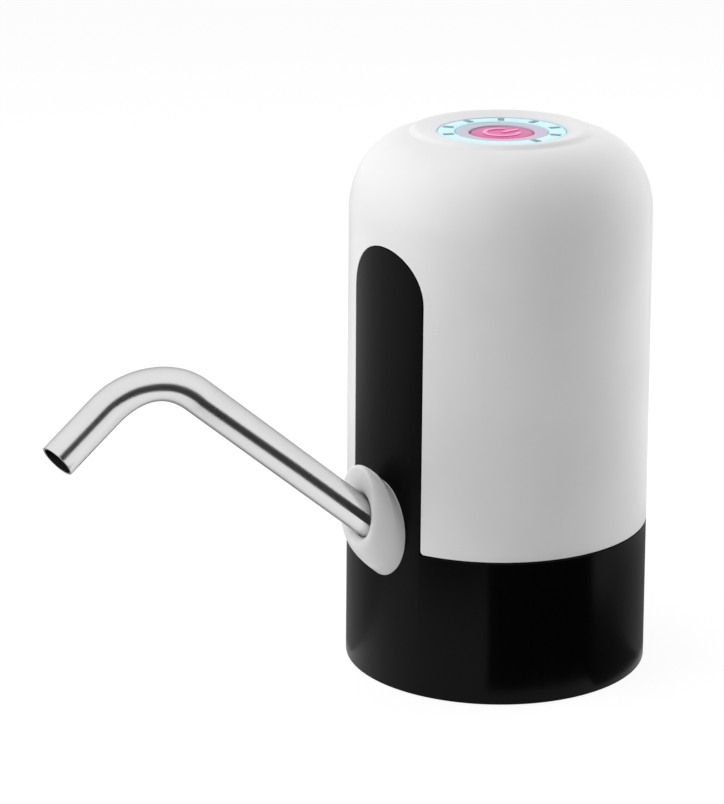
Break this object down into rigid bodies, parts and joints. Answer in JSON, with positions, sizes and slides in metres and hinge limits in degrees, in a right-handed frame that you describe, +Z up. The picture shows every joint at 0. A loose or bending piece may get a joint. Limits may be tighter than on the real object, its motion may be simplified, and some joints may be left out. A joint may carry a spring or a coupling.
{
  "type": "bottled water pump",
  "caption": "Round battery pump that sits on a water bottle's neck, with a bent steel spout and one lit push button.",
  "frame": {"origin": "on the body's axis, in the plane of the base's bottom rim", "axes": "+Z up along the body and the bottle neck, -Y towards the spout, +X to the right seen from the spout's back"},
  "size_m": [0.072, 0.1613, 0.1283],
  "materials": {
    "white_plastic": "satin white ABS",
    "black_plastic": "satin black ABS",
    "grey_plastic": "plain grey moulding",
    "natural_plastic": "undyed acetal",
    "clear_plastic": "clear, lit pale cyan from below",
    "pink_plastic": "satin pink with a paler raised symbol",
    "mauve_plastic": "satin grey mauve",
    "silicone": "soft, food grade",
    "steel": "polished stainless steel",
    "nickel": "nickel plated sheet",
    "iron": "laminated iron with its winding",
    "ferrite": "dark moulded",
    "board_green": "green circuit board",
    "wrap_blue": "blue shrink wrap over the can",
    "led_yellow": "pale yellow lamp",
    "red_lead": "red insulation",
    "black_lead": "black insulation"
  },
  "bodies": {
    "housing": {"outer_shell": "white_plastic", "base_housing": "black_plastic", "bottom_deck": "black_plastic", "neck_gasket": "silicone", "neck_grip": "silicone", "inner_chassis": "grey_plastic", "spout_collar": "white_plastic", "outlet_block": "grey_plastic", "outlet_hose": "silicone", "inlet_nozzle": "natural_plastic", "nozzle_nut": "grey_plastic", "inlet_hose": "silicone", "pump_body": "grey_plastic", "pump_cover": "grey_plastic", "pump_gasket": "silicone", "idler_axle": "steel", "shaft_seal": "ferrite", "pump_screw_1": "steel", "pump_screw_2": "steel", "pump_screw_3": "steel", "motor_can": "nickel", "motor_end_cap": "white_plastic", "motor_magnet_left": "ferrite", "motor_magnet_right": "ferrite", "motor_strap": "nickel", "battery_cell": "wrap_blue", "battery_tab_top": "nickel", "battery_tab_bottom": "nickel", "control_board": "board_green", "tact_switch": "black_plastic", "led_1": "led_yellow", "led_2": "led_yellow", "led_3": "led_yellow", "led_4": "led_yellow", "led_5": "led_yellow", "control_chip": "black_plastic", "light_tray": "white_plastic", "light_ring": "clear_plastic", "ring_bezel": "mauve_plastic", "charge_board": "board_green", "charge_socket": "nickel", "deck_screw_1": "steel", "deck_screw_2": "steel", "deck_screw_3": "steel", "board_screw_1": "steel", "board_screw_2": "steel", "board_screw_3": "steel", "battery_lead_red": "red_lead", "battery_lead_black": "black_lead", "motor_lead_red": "red_lead", "motor_lead_black": "black_lead", "charge_lead": "red_lead"},
    "button": {"button_cap": "pink_plastic", "switch_plunger": "white_plastic"},
    "seal": {"spout_seal": "silicone"},
    "spout": {"spout_tube": "steel"},
    "pump_rotor": {"motor_shaft": "steel", "motor_rotor": "iron", "drive_gear": "natural_plastic"},
    "pump_idler": {"driven_gear": "natural_plastic"}
  },
  "joints": [
    {"name": "button_press", "type": "slide", "parent": "housing", "child": "button", "axis": [0, 0, -1], "range_m": [0, 0.0007], "stiffness_N_per_m": 1500, "springref_m": -0.0006},
    {"name": "spout_swivel", "type": "hinge", "parent": "housing", "child": "seal", "pos_m": [0, -0.03571, 0.03836], "axis": [0, -0.7714, 0.6363], "continuous": true},
    {"name": "spout_pull", "type": "slide", "parent": "seal", "child": "spout", "axis": [0, -0.7714, 0.6363], "range_m": [0, 0.02]},
    {"name": "drive_spin", "type": "hinge", "parent": "housing", "child": "pump_rotor", "pos_m": [-0.005, -0.007, 0.045], "axis": [0, 0, 1], "continuous": true},
    {"name": "driven_spin", "type": "hinge", "parent": "housing", "child": "pump_idler", "pos_m": [0.005, -0.007, 0.045], "axis": [0, 0, 1], "continuous": true}
  ],
  "couplings": [
    {"joint": "driven_spin", "follows": "drive_spin", "ratio": -1}
  ]
}
